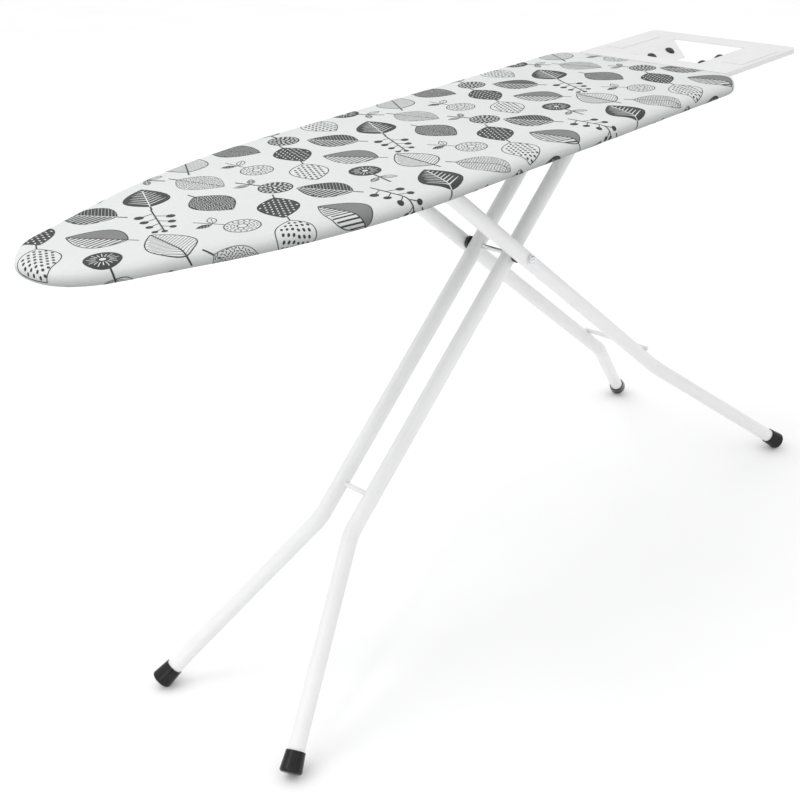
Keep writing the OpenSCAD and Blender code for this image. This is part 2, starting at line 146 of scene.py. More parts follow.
def weave_height(tree, pitch_m):
    """Plain weave: two crossing sets of threads that go over and under one another."""
    v = coords(tree)
    sep = node(tree, "SeparateXYZ")
    tree.links.new(v, sep.inputs[0])
    k = math.pi / pitch_m
    sx = maths(tree, "SINE", maths(tree, "MULTIPLY", sep.outputs[0], k), 0)
    sy = maths(tree, "SINE", maths(tree, "MULTIPLY", sep.outputs[1], k), 0)
    cross = maths(tree, "MULTIPLY", sx, sy)
    ax = maths(tree, "ABSOLUTE", sx, 0)
    ay = maths(tree, "ABSOLUTE", sy, 0)
    both = maths(tree, "ADD", ax, ay)
    return maths(tree, "ADD", maths(tree, "MULTIPLY", cross, 0.4),
                 maths(tree, "MULTIPLY", both, 0.5))


# Painted shade: the cloth's colour is painted darker towards the underside, between these heights
# (m), for the shade its lower side lies in
SHADE_LOW_Z, SHADE_HIGH_Z = 0.7630, 0.7800
SHADE_AT_LOW = 0.42


def cloth_material(name, dark, light, rough=0.85, sheen=0.15, weave=0.0009):
    """Woven cotton or felt: thread relief, slubs, blotches, a soft larger unevenness and painted
    shade darker towards the underside.
    """
    m, t, b = new_material(name)
    h = weave_height(t, weave)
    v = coords(t)
    slub = noise(t, coords(t, (60, 900, 60)), 1.0, 2.0)
    blotch = noise(t, v, 9.0, 4.0)
    uneven = maths(t, "ADD", maths(t, "MULTIPLY", slub, 0.25), maths(t, "MULTIPLY", blotch, 0.4))
    mixed = maths(t, "ADD", maths(t, "MULTIPLY", h, 0.35), uneven)
    # painted shade: the colour is scaled darker towards the underside by height
    level = node(t, "SeparateXYZ")
    t.links.new(v, level.inputs[0])
    low = node(t, "MapRange")
    low.inputs["From Min"].default_value = SHADE_LOW_Z
    low.inputs["From Max"].default_value = SHADE_HIGH_Z
    low.inputs["To Min"].default_value = SHADE_AT_LOW
    low.inputs["To Max"].default_value = 1.0
    t.links.new(level.outputs[2], low.inputs["Value"])
    tone = node(t, "VectorMath", operation="SCALE")
    t.links.new(ramp(t, mixed, [(0.2, dark), (0.75, light)]), tone.inputs[0])
    t.links.new(low.outputs[0], tone.inputs["Scale"])
    t.links.new(tone.outputs[0], b.inputs["Base Color"])
    t.links.new(scalar_range(t, slub, rough - 0.07, min(1, rough + 0.08)), b.inputs["Roughness"])
    b.inputs["Sheen Weight"].default_value = sheen
    b.inputs["Sheen Roughness"].default_value = 0.45
    b.inputs["Specular IOR Level"].default_value = 0.25
    first = node(t, "Bump", Strength=0.35, Distance=0.0002)
    t.links.new(h, first.inputs["Height"])
    bump(t, noise(t, v, 55.0, 3.0), b, 0.25, 0.0012, first.outputs[0])
    return m


def paint_material(name, col, rough=0.33):
    """Powder coat: fine orange peel, slight variation in gloss, faint grey handling marks."""
    m, t, b = new_material(name)
    v = coords(t)
    peel = noise(t, v, 260.0, 2.0)
    wide = noise(t, v, 14.0, 4.0)
    marks = noise(t, coords(t, (40, 40, 160)), 1.0, 5.0, 0.7)
    shade = maths(t, "ADD", maths(t, "MULTIPLY", wide, 0.7), maths(t, "MULTIPLY", marks, 0.3))
    low = tuple(c * 0.955 for c in col)
    t.links.new(ramp(t, shade, [(0.3, low), (0.62, col)]), b.inputs["Base Color"])
    t.links.new(scalar_range(t, wide, rough - 0.06, rough + 0.1), b.inputs["Roughness"])
    b.inputs["Coat Weight"].default_value = 0.25
    b.inputs["Coat Roughness"].default_value = 0.18
    bump(t, peel, b, 0.05, 0.0003)
    return m


def metal_material(name, col, rough, stretch=(1, 1, 1), depth=0.2, spread=0.12):
    """Bare or plated steel with a grain that can be stretched along one axis."""
    m, t, b = new_material(name)
    grain = noise(t, coords(t, stretch), 120.0, 4.0, 0.6)
    wide = noise(t, coords(t), 16.0, 3.0)
    low = tuple(c * 0.8 for c in col)
    t.links.new(ramp(t, wide, [(0.3, low), (0.7, col)]), b.inputs["Base Color"])
    t.links.new(scalar_range(t, grain, rough, rough + spread), b.inputs["Roughness"])
    b.inputs["Metallic"].default_value = 1.0
    bump(t, grain, b, depth, 0.0002)
    return m


def plastic_material(name, col, rough, grain_scale=900.0, depth=0.15):
    """Moulded plastic or rubber with fine grain and slight wear."""
    m, t, b = new_material(name)
    v = coords(t)
    grain = noise(t, v, grain_scale, 2.0)
    wear = noise(t, v, 60.0, 5.0, 0.65)
    low = tuple(c * 0.7 for c in col)
    high = tuple(min(1, c * 1.6 + 0.004) for c in col)
    t.links.new(ramp(t, wear, [(0.35, low), (0.75, high)]), b.inputs["Base Color"])
    t.links.new(scalar_range(t, wear, rough, rough + 0.14), b.inputs["Roughness"])
    bump(t, grain, b, depth, 0.0002)
    return m


CLOTH = cloth_material("cotton_ground", (0.56, 0.58, 0.575), (0.655, 0.672, 0.668))
INK = cloth_material("print_dark", (0.030, 0.030, 0.031), (0.054, 0.054, 0.055), 0.8, 0.05)
INK_MID = cloth_material("print_mid", (0.14, 0.14, 0.142), (0.22, 0.22, 0.222), 0.8, 0.05)
INK_PALE = cloth_material("print_pale", (0.33, 0.335, 0.333), (0.42, 0.425, 0.423), 0.82, 0.08)
FELT = cloth_material("pad_felt", (0.55, 0.54, 0.5), (0.72, 0.71, 0.68), 0.95, 0.4, 0.003)
WHITE = paint_material("powder_coat_white", (0.80, 0.805, 0.80))
REST_WHITE = paint_material("powder_coat_rest", (0.70, 0.70, 0.70), 0.5)
ZINC = metal_material("zinc_plate", (0.62, 0.63, 0.65), 0.36, (1, 6, 1))
CHROME = metal_material("chrome", (0.82, 0.83, 0.85), 0.08, (1, 1, 1), 0.04, 0.06)
SPRING = metal_material("spring_steel", (0.32, 0.33, 0.35), 0.34)
GLOSS = plastic_material("black_gloss", (0.006, 0.006, 0.0065), 0.15, 700.0, 0.05)
GLOSS.node_tree.nodes["Principled BSDF"].inputs["Specular IOR Level"].default_value = 0.28
NYLON = plastic_material("black_nylon", (0.02, 0.02, 0.021), 0.42)
SILICONE = plastic_material("black_silicone", (0.013, 0.013, 0.0135), 0.34, 500.0, 0.1)

BY_SLOT = {
    "cover_cloth": CLOTH, "pad_felt": FELT, "steel_zinc": ZINC, "steel_enamel": WHITE,
    "plastic_black": GLOSS, "nylon_black": NYLON, "chrome": CHROME,
    "silicone_black": SILICONE, "spring_steel": SPRING,
}
for part in frame["record"]["subparts"]:
    mesh = NODES[part["node"]].data
    mesh.materials.clear()
    mesh.materials.append(BY_SLOT[part["material_slot"]])
NODES["rest_plate"].data.materials[0] = REST_WHITE


# ---------------------------------------------------------------- helpers
def mesh_object(name, verts, faces, materials, smooth=True, face_mats=None):
    me = bpy.data.meshes.new(name)
    me.from_pydata([tuple(v) for v in verts], [], [tuple(f) for f in faces])
    for m in materials:
        me.materials.append(m)
    if face_mats is not None:
        me.polygons.foreach_set("material_index", face_mats)
    me.polygons.foreach_set("use_smooth", [smooth] * len(me.polygons))
    me.update()
    ob = bpy.data.objects.new(name, me)
    bpy.context.scene.collection.objects.link(ob)
    return ob


# ---------------------------------------------------------------- board outline
# In board millimetres, the same numbers as the CAD cover
HALF, NOSE_R, TAPER, BLEND_R, CORNER_R, TOP = 195.0, 92.0, 21.8, 925.0, 55.0, 786.0
NOSE_X, END_X = -606.0, 600.0
tap = math.radians(TAPER)
NOSE_C = NOSE_X + NOSE_R
BLEND_X = NOSE_C + (math.cos(tap) * (HALF - BLEND_R) + BLEND_R - NOSE_R) / math.sin(tap)


def half_outline(step=2.0):
    """Points and outward normals from the nose tip along the left side to the square end."""
    rows = []

    def arc(cx, cy, r, a0, a1):
        n = max(2, int(abs(math.radians(a1 - a0)) * r / step))
        for i in range(n):
            a = math.radians(a0 + (a1 - a0) * i / n)
            rows.append((cx + r * math.cos(a), cy + r * math.sin(a), math.cos(a), math.sin(a)))

    def line(p, q, nx, ny):
        n = max(2, int(math.dist(p, q) / step))
        for i in range(n):
            rows.append((p[0] + (q[0] - p[0]) * i / n, p[1] + (q[1] - p[1]) * i / n, nx, ny))

    arc(NOSE_C, 0, NOSE_R, 180, 90 + TAPER)
    nx, ny = -math.sin(tap), math.cos(tap)
    line((NOSE_C + NOSE_R * nx, NOSE_R * ny),
         (BLEND_X + BLEND_R * nx, HALF - BLEND_R + BLEND_R * ny), nx, ny)
    arc(BLEND_X, HALF - BLEND_R, BLEND_R, 90 + TAPER, 90)
    line((BLEND_X, HALF), (END_X - CORNER_R, HALF), 0, 1)
    arc(END_X - CORNER_R, HALF - CORNER_R, CORNER_R, 90, 0)
    line((END_X, HALF - CORNER_R), (END_X, 0), 1, 0)
    rows.append((END_X, 0, 1, 0))
    return np.array(rows)


half = half_outline()
other = half[1:-1][::-1] * np.array([1, -1, 1, -1])
LOOP = np.vstack([half, other])
LOOP_LEN = np.r_[0, np.cumsum(np.hypot(*np.diff(LOOP[:, :2], axis=0).T))]
PERIM = LOOP_LEN[-1] + math.dist(LOOP[-1, :2], LOOP[0, :2])


def nearest(x, y):
    """Signed distance inside the outline, its nearest point, outward normal and place along it."""
    n = len(LOOP)
    idx = np.empty(len(x), int)
    for a in range(0, len(x), 4000):
        b = slice(a, a + 4000)
        dd = (x[b, None] - LOOP[None, :, 0]) ** 2 + (y[b, None] - LOOP[None, :, 1]) ** 2
        idx[b] = dd.argmin(1)
    best = None
    for j0, j1 in (((idx - 1) % n, idx), (idx, (idx + 1) % n)):
        p, q = LOOP[j0], LOOP[j1]
        e = q[:, :2] - p[:, :2]
        l2 = (e ** 2).sum(1)
        t = np.clip(((x - p[:, 0]) * e[:, 0] + (y - p[:, 1]) * e[:, 1]) / l2, 0, 1)
        c = p[:, :2] + e * t[:, None]
        nr = p[:, 2:] * (1 - t[:, None]) + q[:, 2:] * t[:, None]
        nr /= np.linalg.norm(nr, axis=1)[:, None]
        d2 = (x - c[:, 0]) ** 2 + (y - c[:, 1]) ** 2
        s = LOOP_LEN[j0] + np.sqrt(l2) * t
        if best is None:
            best = [d2, c, nr, s]
        else:
            m = d2 < best[0]
            best[0] = np.where(m, d2, best[0])
            best[1] = np.where(m[:, None], c, best[1])
            best[2] = np.where(m[:, None], nr, best[2])
            best[3] = np.where(m, s, best[3])
    d2, c, nr, s = best
    out = (x - c[:, 0]) * nr[:, 0] + (y - c[:, 1]) * nr[:, 1]
    return -np.sign(out) * np.sqrt(d2), c, nr, s


# Section of the cloth at the edge: distance inside the outline, height. From the flat top
# over the padded edge, down the side and in under the board to the drawn-in hem.
SECTION = np.array([
    (20, 0.0), (14, -0.4), (9.5, -1.3), (6, -2.9), (3.4, -5.1), (1.5, -8.0), (0.4, -11.2),
    (0.2, -13.6), (0.8, -16.4), (2.2, -19.0), (4.6, -21.4), (8, -23.0), (13, -23.5),
    (22, -23.4), (34, -22.9)]) + (0, TOP)


# At the square end the cloth is pulled tighter round the edge, next to the iron rest
END_SECTION = np.array([
    (20, 0.0), (14, -0.1), (9, -0.3), (5.2, -0.9), (2.9, -1.9), (1.2, -3.8), (0.3, -6.8),
    (0.1, -11.0), (0.5, -15.6), (2.2, -19.0), (4.6, -21.4), (8, -23.0), (13, -23.5),
    (22, -23.4), (34, -22.9)]) + (0, TOP)


def smooth_section(section):
    t = np.r_[0, np.cumsum(np.hypot(*np.diff(section, axis=0).T))]
    fine = np.linspace(0, t[-1], 400)
    c = np.stack([np.interp(fine, t, section[:, k]) for k in (0, 1)], 1)
    for _ in range(60):
        c[1:-1] = 0.25 * c[:-2] + 0.5 * c[1:-1] + 0.25 * c[2:]
    t = np.r_[0, np.cumsum(np.hypot(*np.diff(c, axis=0).T))]
    return t, c


SEC_T, SEC_C = smooth_section(SECTION)
END_C = smooth_section(END_SECTION)[1]
ROLL_START = SECTION[0, 0]
CLOTH_OVER = SEC_T[-1] - ROLL_START  # how far the flat cloth reaches past the outline


def top_height(x, y, d):
    """Slight crown of the padded top with a few slack places."""
    crown = 1.0 - np.exp(-np.clip(d - ROLL_START, 0, None) / 60.0)
    soft = (np.sin(x / 61.0 + y / 83.0) + 0.7 * np.sin(x / 37.0 - y / 52.0 + 1.7)
            + 0.5 * np.sin(y / 29.0 + x / 160.0 + 0.6))
    return TOP + crown * (0.9 + 0.28 * soft)


def wrap(x, y, lift=0.0):
    """Flat cloth millimetres to places on the covered board, in metres in the row frame."""
    x, y = np.asarray(x, float), np.asarray(y, float)
    d, q, nr, along = nearest(x, y)
    s = np.clip(ROLL_START - d, 0, SEC_T[-1])
    square = np.clip((nr[:, 0] - 0.3) / 0.6, 0, 1)
    square = square * square * (3 - 2 * square)

    def section(at, k):
        return (np.interp(at, SEC_T, SEC_C[:, k]) * (1 - square)
                + np.interp(at, SEC_T, END_C[:, k]) * square)

    u, z = section(s, 0), section(s, 1)
    e = 0.6
    du = section(s + e, 0) - section(s - e, 0)
    dz = section(s + e, 1) - section(s - e, 1)
    ln = np.hypot(du, dz) + 1e-9
    no, nz = -dz / ln, -du / ln
    # slack and gathers: soft waves along the rolled edge, tighter ones in the hem
    edge = np.exp(-((s - 24.0) / 9.0) ** 2)
    nose = np.clip((-x - 250.0) / 250.0, 0, 1)
    corner = np.exp(-((x - 575.0) / 40.0) ** 2)
    wave = (np.sin(along / 14.5 + 0.8 * np.sin(along / 47.0)) * 0.55
            + np.sin(along / 23.0 + 1.3) * 0.45)
    tight = np.sin(along / 2.9 + 1.2 * np.sin(along / 19.0)) * (0.6 + 0.4 * np.sin(along / 11.0))
    push = edge * wave * (0.35 + 1.3 * nose + 1.0 * corner)
    hem = np.clip((s - 44.0) / 14.0, 0, 1)
    push = push + hem * tight * 1.3
    flat = d >= ROLL_START
    out = -u + (push + lift) * no
    X = np.where(flat, x, q[:, 0] + nr[:, 0] * out)
    Y = np.where(flat, y, q[:, 1] + nr[:, 1] * out)
    Z = np.where(flat, top_height(x, y, d) + lift, z + (push + lift) * nz)
    return np.stack([(X - OFFSET) * MM, Y * MM, Z * MM], 1), d


# ---------------------------------------------------------------- cover cloth
def outline_rows(dists, count):
    """Rings of flat points at the given distances inside the outline, count points each."""
    s = np.arange(count) * PERIM / count
    ext = np.vstack([LOOP, LOOP[:1]])
    ln = np.r_[LOOP_LEN, PERIM]
    pts = np.stack([np.interp(s, ln, ext[:, k]) for k in range(4)], 1)
    pts[:, 2:] /= np.linalg.norm(pts[:, 2:], axis=1)[:, None]
    return [pts[:, :2] - pts[:, 2:] * d for d in dists]


def grid_inside(limit, pitch):
    xs = np.arange(NOSE_X, END_X, pitch)
    ys = np.arange(-HALF, HALF + 1, pitch)
    gx, gy = [a.ravel() for a in np.meshgrid(xs, ys)]
    d = nearest(gx, gy)[0]
    keep = d > limit
    return np.stack([gx[keep], gy[keep]], 1)


def flat_disc(inset, count, pitch):
    """Triangles that fill the outline inset by a distance, with the ring's points first."""
    ring = outline_rows([inset], count)[0]
    inner = grid_inside(inset + pitch * 0.6, pitch)
    pts = [Vector(p) for p in np.vstack([ring, inner])]
    edges = [(i, (i + 1) % count) for i in range(count)]
    v, _, f, _, _, _ = delaunay_2d_cdt(pts, edges, [], 1, 1e-6)
    return np.array([tuple(p) for p in v]), [tuple(t) for t in f]


COUNT = 640  # points round each ring of the cloth
flat_v, flat_f = flat_disc(ROLL_START, COUNT, 11.0)
# rings from the flat top round the edge to the hem, as distances inside the outline
steps = [17, 14, 11.5, 9, 7, 5, 3, 1, -1, -3, -5, -7, -9, -11, -13, -15, -17, -19, -21.5, -24, -27,
         -31, -36, 0.4 - CLOTH_OVER]
rings = outline_rows(steps, COUNT)
allflat = np.vstack([flat_v] + rings)
base = len(flat_v)
ring_ids = [np.arange(COUNT)] + [base + k * COUNT + np.arange(COUNT) for k in range(len(rings))]
faces = list(flat_f)
for a, b in zip(ring_ids[:-1], ring_ids[1:]):
    for i in range(COUNT):
        j = (i + 1) % COUNT
        faces.append((int(a[j]), int(a[i]), int(b[i]), int(b[j])))
cloth_v, _ = wrap(allflat[:, 0], allflat[:, 1])
cover = mesh_object("cover_cloth", cloth_v, faces, [CLOTH])
bm = bmesh.new()
bm.from_mesh(cover.data)
bmesh.ops.recalc_face_normals(bm, faces=bm.faces)
probe = max(bm.faces, key=lambda f: f.calc_center_median().z)
if probe.normal.z < 0:
    bmesh.ops.reverse_faces(bm, faces=bm.faces)
bm.to_mesh(cover.data)
bm.free()
CLOTH_THICKNESS = 0.0009
shell = cover.modifiers.new("thickness", "SOLIDIFY")
shell.thickness = CLOTH_THICKNESS
shell.offset = -1
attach(cover, "board")
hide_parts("cover")
ext = outline_rows([-CLOTH_OVER], 2000)[0]

# ---------------------------------------------------------------- print on the cover
# A generic print of the builder's own: leaves, round flowers and berry twigs in staggered
# rows. s runs along the board and repeats, t across it, both in millimetres of flat cloth.
COLUMNS, ROWS = 5, 7
CELL_S, CELL_T = 81.0, 81.0
REPEAT = COLUMNS * CELL_S
DARK, MID, PALE, BARE = 0, 1, 2, 3  # inks; BARE is the cloth's own colour


class Ink:
    """Collects flat patches: points in print millimetres, faces, ink number and layer."""

    def __init__(self):
        self.v, self.f, self.m, self.l = [], [], [], []
        self.n = 0

    def add(self, pts, faces, ink, layer):
        pts = np.asarray(pts, float)
        self.v.append(pts)
        self.l.append(np.full(len(pts), float(layer)))
        for f in faces:
            self.f.append(tuple(i + self.n for i in f))
            self.m.append(ink)
        self.n += len(pts)


ink = Ink()
rnd = random.Random(7)


def stroke(pts, width, colour=DARK, layer=1, taper=False, step=5.0):
    """A drawn line along points, as a ribbon."""
    p = np.asarray(pts, float)
    t = np.r_[0, np.cumsum(np.hypot(*np.diff(p, axis=0).T))]
    if t[-1] < 1e-6:
        return
    n = max(2, int(math.ceil(t[-1] / step)) + 1)
    s = np.linspace(0, t[-1], n)
    c = np.stack([np.interp(s, t, p[:, k]) for k in (0, 1)], 1)
    g = np.gradient(c, axis=0)
    g /= np.linalg.norm(g, axis=1)[:, None] + 1e-9
    w = np.full(n, width / 2.0)
    if taper:
        w = w * np.interp(s / t[-1], [0, 0.15, 0.8, 1], [1, 1, 0.75, 0.25])
    nr = np.stack([-g[:, 1], g[:, 0]], 1) * w[:, None]
    v = np.vstack([c + nr, c - nr])
    ink.add(v, [(i, i + 1, n + i + 1, n + i) for i in range(n - 1)], colour, layer)


def blob(cx, cy, rx, ry, colour=DARK, layer=1, angle=0.0, sides=10, rings_n=1):
    """A filled ellipse."""
    ca, sa = math.cos(angle), math.sin(angle)
    v = [(cx, cy)]
    fac = []
    for k in range(1, rings_n + 1):
        for i in range(sides):
            a = 2 * math.pi * i / sides
            x, y = rx * math.cos(a) * k / rings_n, ry * math.sin(a) * k / rings_n
            v.append((cx + x * ca - y * sa, cy + x * sa + y * ca))
    for i in range(sides):
        j = (i + 1) % sides
        fac.append((0, 1 + i, 1 + j))
        for k in range(1, rings_n):
            a, b = 1 + (k - 1) * sides, 1 + k * sides
            fac.append((a + i, b + i, b + j, a + j))
    ink.add(v, fac, colour, layer)


def ring(c, r, width, colour=DARK):
    """A drawn circle."""
    p = [(c[0] + r * math.cos(a), c[1] + r * math.sin(a))
         for a in np.radians(np.linspace(0, 360, 25))]
    stroke(p, width, colour, 1, step=3.5)


def dot_ring(c, r, count, rx, ry, colour, layer, start=0.0):
    """Dots set evenly round a circle."""
    for i in range(count):
        a = 2 * math.pi * i / count + start
        blob(c[0] + r * math.cos(a), c[1] + r * math.sin(a), rx, ry, colour, layer, a, 7)


class Leaf:
    """A leaf's outline about its midrib: t runs from the stem to the tip, side is -1 or 1."""

    def __init__(self, base, tip, half_w, widest, p0, p1):
        self.b = np.array(base, float)
        ax = np.array(tip, float) - self.b
        self.len = float(np.hypot(*ax))
        self.ax = ax / self.len
        self.nr = np.array([-self.ax[1], self.ax[0]])
        self.half_w, self.widest, self.p0, self.p1 = half_w, widest, p0, p1

    def width(self, t):
        k = self.widest
        h = np.where(t < k, np.clip(t / k, 0, 1), np.clip((1 - t) / (1 - k), 0, 1))
        p = np.where(t < k, self.p0, self.p1)
        return self.half_w * np.sin(h * math.pi / 2) ** p

    def at(self, t, c, sd):
        """Point at t along the midrib and c, 0 to 1, of the way out to the edge."""
        t, c = np.asarray(t, float), np.asarray(c, float)
        o = sd * self.width(t) * c
        return self.b + self.ax * (t * self.len)[..., None] + self.nr * o[..., None]

    def fill(self, colour, layer=0, sides=(1, -1)):
        for sd in sides:
            nt, nc = max(6, int(self.len / 6)), max(3, int(self.half_w / 7))
            tt = np.linspace(0, 1, nt + 1)
            tt = 0.5 - 0.5 * np.cos(tt * math.pi)
            T, C = np.meshgrid(tt, np.linspace(0, 1, nc + 1), indexing="ij")
            v = self.at(T, C, sd).reshape(-1, 2)
            row = nc + 1
            f = [(i * row + j, (i + 1) * row + j, (i + 1) * row + j + 1, i * row + j + 1)
                 for i in range(nt) for j in range(nc)]
            ink.add(v, f, colour, layer)

    def outline(self, width, colour=DARK, layer=2):
        t = np.linspace(0, 1, 26)
        t = 0.5 - 0.5 * np.cos(t * math.pi)
        for sd in (1, -1):
            stroke(self.at(t, np.ones_like(t), sd), width, colour, layer)

    def rib(self, width, colour, layer=2, t0=0.0, t1=1.0):
        t = np.linspace(t0, t1, 12)
        stroke(self.at(t, np.zeros_like(t), 1), width, colour, layer)

    def lines(self, sd, count, lean, width, colour, layer=1, t0=0.04, t1=0.96, c0=0.02,
              c1=0.98, taper=False):
        """Veins from the midrib to the edge; lean is how far towards the tip they run."""
        for i in range(count):
            t = t0 + (t1 - t0) * (i + 0.5) / count
            reach = self.width(np.array(t))
            # march outwards until the edge is met
            best = None
            for k in np.linspace(0, 1, 9)[1:]:
                o = k * self.half_w * 1.05
                tt = t + lean * o / self.len
                if tt >= 0.995 or tt <= 0.005:
                    break
                if o > self.width(np.array(tt)) * c1:
                    break
                best = (tt, o)
            if best is None or best[1] < 1.5:
                continue
            o0 = c0 * float(reach)
            a = self.b + self.ax * (t + lean * o0 / self.len) * self.len + self.nr * sd * o0
            b = self.b + self.ax * best[0] * self.len + self.nr * sd * best[1]
            stroke([a, b], width, colour, layer, taper)

    def stipple(self, colour, layer, pitch, length, width):
        """Short dashes all over the leaf, each at its own angle."""
        for sd in (1, -1):
            rows = int(self.len / pitch)
            for i in range(1, rows):
                t = i / rows
                reach = float(self.width(np.array(t)))
                for j in range(int(reach / pitch)):
                    o = (j + 0.55 + 0.25 * math.sin(i * 2.3)) * pitch
                    if o > reach - 1.0:
                        continue
                    a = rnd.uniform(-1.5, 1.5)
                    c = self.b + self.ax * t * self.len + self.nr * sd * o
                    dv = self.ax * math.cos(a) + self.nr * math.sin(a)
                    stroke([c - dv * length / 2, c + dv * length / 2], width, colour, layer)

    def dashes(self, colour, layer=1, pitch_t=8.4, pitch_o=6.6, length=5.4, width=3.6):
        """Rows of thick dashes that slant away from the midrib."""
        along = math.atan2(self.ax[1], self.ax[0])
        for sd in (1, -1):
            rows = int(self.len / pitch_t)
            for i in range(1, rows):
                t = (i + (0.25 if sd > 0 else 0)) / rows
                reach = float(self.width(np.array(t)))
                for j in range(int(reach / pitch_o)):
                    o = (j + 0.5) * pitch_o
                    if o > reach - 3.0:
                        continue
                    c = self.b + self.ax * t * self.len + self.nr * sd * o
                    blob(c[0], c[1], length / 2, width / 2, colour, layer,
                         along + 0.4 * sd, 8)


def small_leaf(base, tip, half_w, style):
    """Leaf on a flower's stem: "outline", "grey" or "dark"."""
    lf = Leaf(base, tip, half_w, 0.5, 1.0, 1.0)
    if style == "outline":
        lf.outline(1.1, DARK, 2)
        lf.rib(0.9, DARK, 2, 0.15, 0.8)
    elif style == "grey":
        lf.fill(MID, 1)
        lf.rib(1.0, BARE, 2, 0.1, 0.9)
    else:
        lf.fill(DARK, 1)
        lf.lines(1, 5, 0.6, 0.7, BARE, 2)


def paired_leaves(at, ax, styles):
    """Two small leaves, one each side of a stem."""
    nr = np.array([-ax[1], ax[0]])
    for sd, style in zip((1, -1), styles):
        small_leaf(at + nr * sd * 1.5, at + nr * sd * 20 + ax * 13, 5.8, style)


def ray_flower(c, ax):
    """Dark disc with bare rays round a bare eye, on a stem with two leaves."""
    blob(c[0], c[1], 22, 22, DARK, 1, 0, 26, 3)
    blob(c[0], c[1], 4, 4, BARE, 2, 0, 10)
    for i in range(18):
        a = 2 * math.pi * i / 18
        d = np.array([math.cos(a), math.sin(a)])
        stroke([c + d * 8.0, c + d * (18.0 if i % 2 else 15.5)], 1.1, BARE, 2)
    stroke([c + ax * 22, c + ax * 64], 2.3, DARK, 2)
    paired_leaves(c + ax * 36, ax, ("outline", "grey"))


def ring_flower(c, ax):
    """Outlined rings with dots between them, on a thin stem with two leaves."""
    for r, w, tone in ((22, 1.5, DARK), (14, 1.1, MID), (6.5, 1.4, DARK)):
        ring(c, r, w, tone)
    for r, count in ((18, 16), (10, 9)):
        dot_ring(c, r, count, 1.4, 1.4, DARK, 1)
    stroke([c + ax * 22, c + ax * 64], 1.6, MID, 2)
    paired_leaves(c + ax * 38, ax, ("dark", "outline"))


def seed_flower(c, ax):
    """Dark disc filled with rings of bare seeds."""
    blob(c[0], c[1], 23, 23, DARK, 1, 0, 24, 3)
    blob(c[0], c[1], 2.6, 2.6, BARE, 2, 0, 8)
    for r, count in ((7.5, 7), (13.5, 12), (19.0, 17)):
        dot_ring(c, r, count, 2.3, 1.9, BARE, 2, start=r)
    stroke([c + ax * 23, c + ax * 62], 2.3, DARK, 2)
    paired_leaves(c + ax * 38, ax, ("grey", "grey"))


def berry_twig(foot, ax):
    """Twig with round berries on short stalks, left and right in turn."""
    nr = np.array([-ax[1], ax[0]])
    stroke([foot, foot + ax * 84], 2.0, DARK, 2)
    for i in range(7):
        sd = 1 if i % 2 else -1
        p = foot + ax * (16 + 10 * i)
        q = p + nr * sd * (19 - 1.3 * i) + ax * 9
        stroke([p, q], 1.3, DARK, 2)
        r = 6.2 - 0.35 * i
        blob(q[0], q[1], r, r, DARK, 1, 0, 12, 2)
    tip = foot + ax * 87
    blob(tip[0], tip[1], 4.0, 4.0, DARK, 1, 0, 10)


def half_leaf(base, tip, stem, dark):
    """One half striped, the other dark with fine pale lines, or plain grey."""
    lf = Leaf(base, tip, 31, 0.42, 0.75, 0.9)
    if dark:
        lf.fill(DARK, 0)
        lf.lines(1, 11, 0.5, 2.0, BARE, 1, 0.0, 0.97)
        lf.lines(-1, 16, 0.5, 0.7, PALE, 1, 0.0, 0.95)
        lf.rib(1.7, BARE, 2)
    else:
        lf.fill(MID, 0, (-1,))
        lf.lines(1, 11, 0.5, 2.2, DARK, 1, 0.0, 0.97)
        lf.outline(1.3, DARK, 2)
        lf.rib(1.5, DARK, 2)
    stroke([stem, base], 2.2 if dark else 1.5, DARK, 2)


def veined_leaf(base, tip, stem, dark):
    """Leaf with a rib and slanting veins: bare on dark, or fine lines inside an outline."""
    lf = Leaf(base, tip, 30, 0.38, 0.7, 0.9)
    if dark:
        lf.fill(DARK, 0)
        lf.rib(1.6, BARE, 2, 0.0, 0.9)
        for sd in (1, -1):
            lf.lines(sd, 8, 0.8, 1.9, BARE, 1, 0.06, 0.92, 0.03, 0.8, taper=True)
    else:
        for sd in (1, -1):
            lf.lines(sd, 15, 0.6, 0.9, MID, 1, 0.0, 0.97)
        lf.outline(1.5, DARK, 2)
        lf.rib(1.8, DARK, 2)
    stroke([stem, base], 2.2, DARK, 2)


def stipple_leaf(base, tip, stem, dark):
    """Leaf filled with short dashes: bare on dark, or dark inside an outline."""
    lf = Leaf(base, tip, 29, 0.45, 0.85, 0.9)
    if dark:
        lf.fill(DARK, 0)
    lf.stipple(BARE if dark else DARK, 1, 3.7, 3.3, 1.0)
    lf.outline(1.1, DARK if dark else MID, 2)
    lf.rib(1.0, DARK if dark else MID, 2)
    stroke([stem, base], 2.0, DARK, 2)


def dash_leaf(base, tip, stem, dark):
    """Leaf with rows of thick dashes."""
    lf = Leaf(base, tip, 26, 0.45, 0.85, 0.9)
    if dark:
        lf.fill(DARK, 0)
        lf.dashes(BARE, 1, 8.5, 6.4, 4.6, 2.4)
    else:
        lf.dashes(DARK, 1)
    lf.outline(1.2, DARK, 2)
    stroke([stem, base], 1.8, DARK, 2)


LEAVES = [(half_leaf, True), (veined_leaf, False), (stipple_leaf, True), (dash_leaf, False),
          (half_leaf, False), (veined_leaf, True), (stipple_leaf, False), (dash_leaf, True)]
FLOWERS = [ray_flower, seed_flower, berry_twig, ring_flower]


